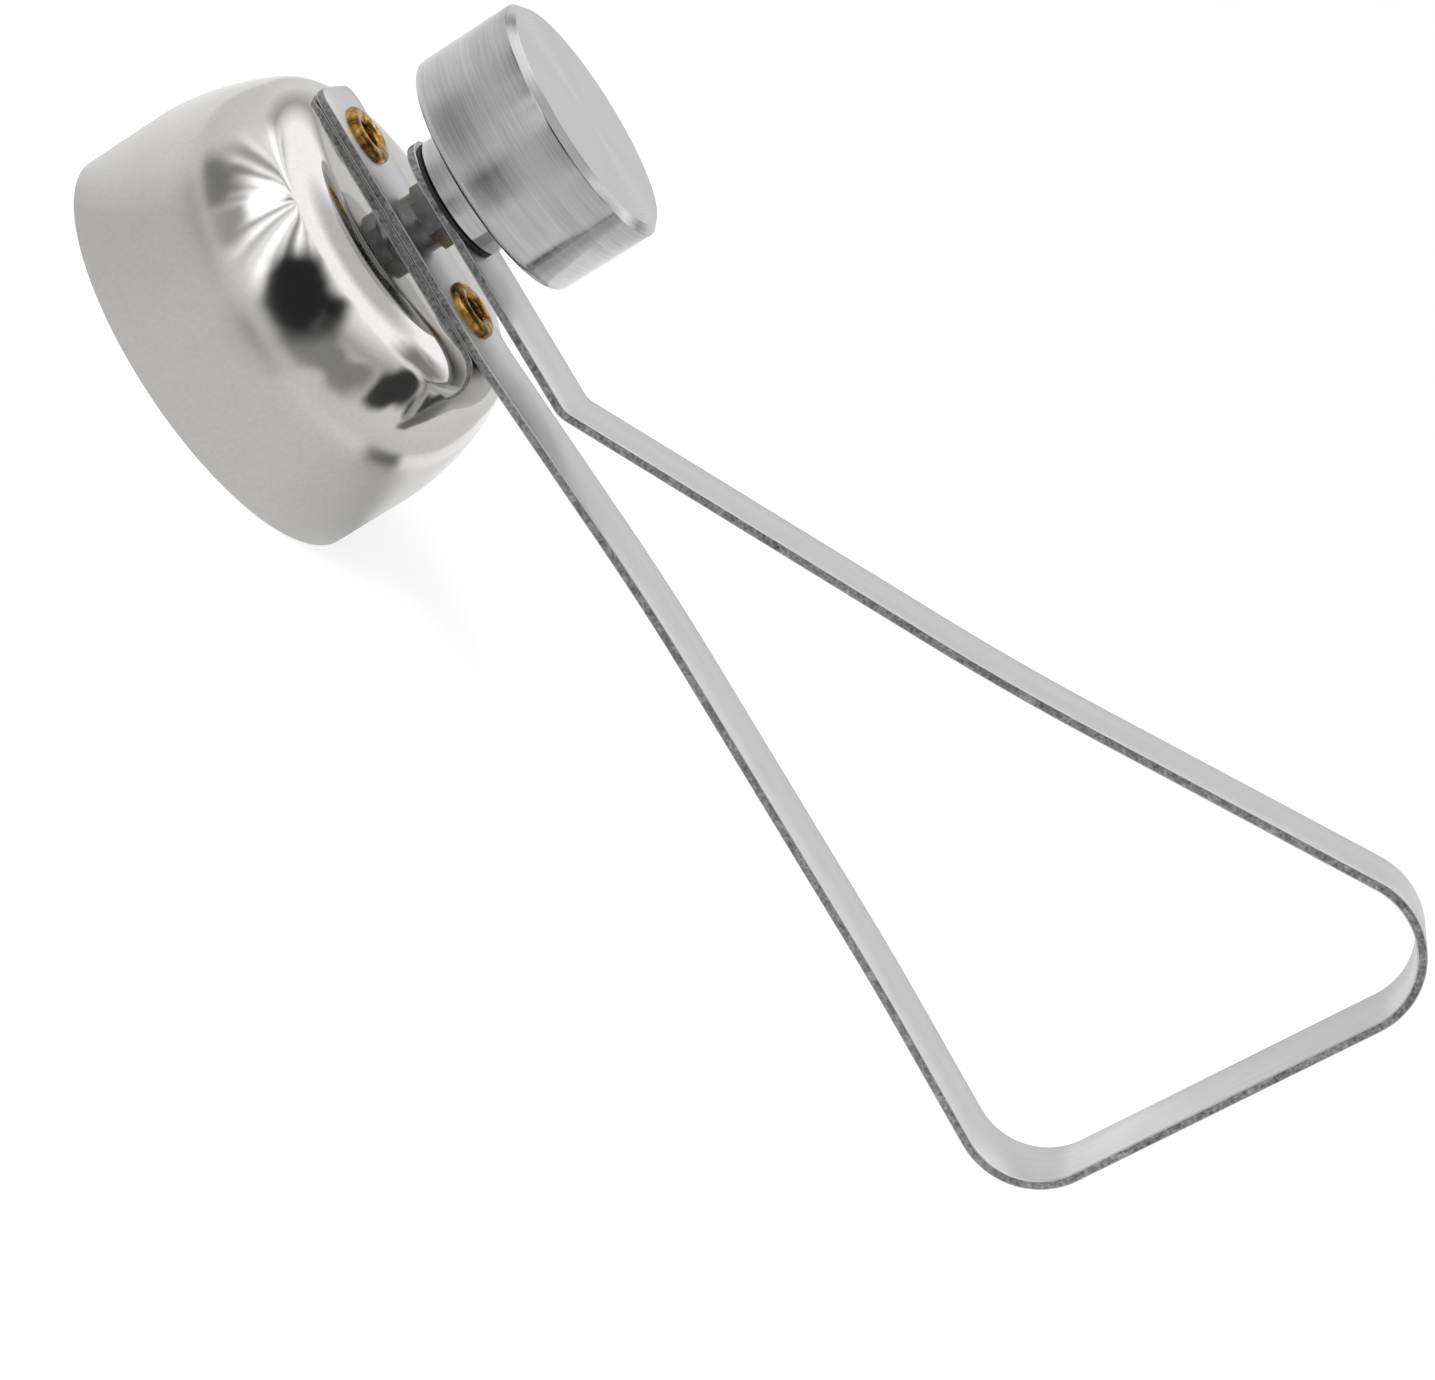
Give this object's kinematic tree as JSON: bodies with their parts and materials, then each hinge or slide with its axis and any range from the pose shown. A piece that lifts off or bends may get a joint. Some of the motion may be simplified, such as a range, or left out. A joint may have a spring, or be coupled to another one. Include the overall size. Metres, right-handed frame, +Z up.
{
  "type": "egg topper",
  "caption": "Steel egg topper: a bell for the egg's end, a squeezed strip handle that lifts a knob, and a turning claw crown that scores the shell.",
  "frame": {"origin": "centre of the bell's rim plane, where the egg's end goes in", "axes": "+Z up along the bell's axis to the knob, +X along the handle, Y across the strip"},
  "size_m": [0.141, 0.046, 0.0777],
  "materials": {
    "bell_steel": "drawn and polished, satin flank",
    "strip_steel": "satin faces, sheared edges",
    "turned_steel": "turned",
    "hardware_steel": "bright",
    "spring_steel": "rolled",
    "rivet_brass": "tumbled",
    "black_nylon": "matt"
  },
  "bodies": {
    "root": {"bell": "bell_steel", "handle_loop": "strip_steel", "rivet_tip_side": "rivet_brass", "rivet_handle_side": "rivet_brass", "guide_bush": "hardware_steel", "guide_washer": "hardware_steel", "guide_nut": "hardware_steel"},
    "lever": {"squeeze_lever": "strip_steel"},
    "lift": {"thrust_washer": "black_nylon"},
    "spindle": {"knob": "turned_steel", "draw_shaft": "hardware_steel", "claw_hub": "spring_steel", "claw_clamp_washer": "hardware_steel", "claw_nut": "hardware_steel"},
    "finger_1": {"claw_finger_1": "spring_steel"},
    "finger_2": {"claw_finger_2": "spring_steel"},
    "finger_3": {"claw_finger_3": "spring_steel"},
    "finger_4": {"claw_finger_4": "spring_steel"},
    "finger_5": {"claw_finger_5": "spring_steel"},
    "finger_6": {"claw_finger_6": "spring_steel"},
    "finger_7": {"claw_finger_7": "spring_steel"},
    "finger_8": {"claw_finger_8": "spring_steel"}
  },
  "joints": [
    {"name": "handle_squeeze", "type": "hinge", "parent": "root", "child": "lever", "pos_m": [0.0239, 0, 0.02948], "axis": [0, 1, 0], "range_deg": [0, 7], "stiffness_Nm_per_rad": 0.5},
    {"name": "knob_lift", "type": "slide", "parent": "root", "child": "lift", "axis": [0, 0, 1], "range_m": [0, 0.004]},
    {"name": "knob_spin", "type": "hinge", "parent": "lift", "child": "spindle", "pos_m": [0, 0, 0.03], "axis": [0, 0, 1], "continuous": true},
    {"name": "claw_close_1", "type": "hinge", "parent": "spindle", "child": "finger_1", "pos_m": [0.0058, 0.0024, 0.0176], "axis": [-0.3827, 0.9239, 0], "range_deg": [0, 9.1]},
    {"name": "claw_close_2", "type": "hinge", "parent": "spindle", "child": "finger_2", "pos_m": [0.0024, 0.0058, 0.0176], "axis": [-0.9239, 0.3827, 0], "range_deg": [0, 9.1]},
    {"name": "claw_close_3", "type": "hinge", "parent": "spindle", "child": "finger_3", "pos_m": [-0.0024, 0.0058, 0.0176], "axis": [-0.9239, -0.3827, 0], "range_deg": [0, 9.1]},
    {"name": "claw_close_4", "type": "hinge", "parent": "spindle", "child": "finger_4", "pos_m": [-0.0058, 0.0024, 0.0176], "axis": [-0.3827, -0.9239, 0], "range_deg": [0, 9.1]},
    {"name": "claw_close_5", "type": "hinge", "parent": "spindle", "child": "finger_5", "pos_m": [-0.0058, -0.0024, 0.0176], "axis": [0.3827, -0.9239, 0], "range_deg": [0, 9.1]},
    {"name": "claw_close_6", "type": "hinge", "parent": "spindle", "child": "finger_6", "pos_m": [-0.0024, -0.0058, 0.0176], "axis": [0.9239, -0.3827, 0], "range_deg": [0, 9.1]},
    {"name": "claw_close_7", "type": "hinge", "parent": "spindle", "child": "finger_7", "pos_m": [0.0024, -0.0058, 0.0176], "axis": [0.9239, 0.3827, 0], "range_deg": [0, 9.1]},
    {"name": "claw_close_8", "type": "hinge", "parent": "spindle", "child": "finger_8", "pos_m": [0.0058, -0.0024, 0.0176], "axis": [0.3827, 0.9239, 0], "range_deg": [0, 9.1]}
  ],
  "couplings": [
    {"joint": "knob_lift", "follows": "handle_squeeze", "m_per_rad": 0.0312},
    {"joint": "claw_close_1", "follows": "handle_squeeze", "ratio": 1.2857},
    {"joint": "claw_close_2", "follows": "handle_squeeze", "ratio": 1.2857},
    {"joint": "claw_close_3", "follows": "handle_squeeze", "ratio": 1.2857},
    {"joint": "claw_close_4", "follows": "handle_squeeze", "ratio": 1.2857},
    {"joint": "claw_close_5", "follows": "handle_squeeze", "ratio": 1.2857},
    {"joint": "claw_close_6", "follows": "handle_squeeze", "ratio": 1.2857},
    {"joint": "claw_close_7", "follows": "handle_squeeze", "ratio": 1.2857},
    {"joint": "claw_close_8", "follows": "handle_squeeze", "ratio": 1.2857}
  ]
}
